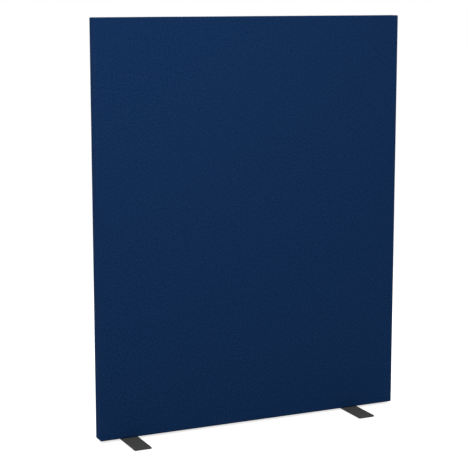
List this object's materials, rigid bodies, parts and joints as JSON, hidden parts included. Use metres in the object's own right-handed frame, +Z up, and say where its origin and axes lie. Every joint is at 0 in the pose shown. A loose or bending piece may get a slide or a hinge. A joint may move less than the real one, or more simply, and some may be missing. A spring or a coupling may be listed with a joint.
{
  "type": "acoustic divider screen",
  "caption": "Free-standing fabric-covered acoustic divider screen: a tall flat timber-framed panel bolted to flat steel feet that reach out to the front and rear.",
  "frame": {"origin": "on the floor, under the middle of the panel", "axes": "+X along the width, +Y towards the rear, +Z up"},
  "size_m": [1.2, 0.31, 1.5],
  "materials": {
    "softwood": "matte",
    "beech": "matte",
    "mineral_wool": "matte",
    "soft_fibreboard": "matte",
    "acoustic_foam": "matte",
    "polyester_wadding": "matte",
    "cover_cloth": "matte",
    "galvanised_wire": "satin",
    "black_strip": "matte",
    "blued_tacks": "satin",
    "zinc_insert": "satin",
    "foot_steel": "satin",
    "black_screws": "satin",
    "pad_rubber": "matte"
  },
  "bodies": {
    "root": {"left_stile": "softwood", "right_stile": "softwood", "top_rail": "softwood", "middle_rail": "softwood", "bottom_rail": "softwood", "upper_mullion": "softwood", "lower_mullion": "softwood", "frame_dowels": "beech", "upper_left_slab": "mineral_wool", "upper_right_slab": "mineral_wool", "lower_left_slab": "mineral_wool", "lower_right_slab": "mineral_wool", "front_board": "soft_fibreboard", "rear_board": "soft_fibreboard", "front_foam": "acoustic_foam", "rear_foam": "acoustic_foam", "left_edge_wadding": "polyester_wadding", "right_edge_wadding": "polyester_wadding", "top_edge_wadding": "polyester_wadding", "front_cover": "cover_cloth", "rear_cover": "cover_cloth", "front_board_staples": "galvanised_wire", "rear_board_staples": "galvanised_wire", "hem_staples": "galvanised_wire", "base_strip": "black_strip", "strip_tacks": "blued_tacks", "threaded_inserts": "zinc_insert", "left_foot": "foot_steel", "right_foot": "foot_steel", "foot_screws": "black_screws", "foot_pads": "pad_rubber"}
  },
  "joints": []
}
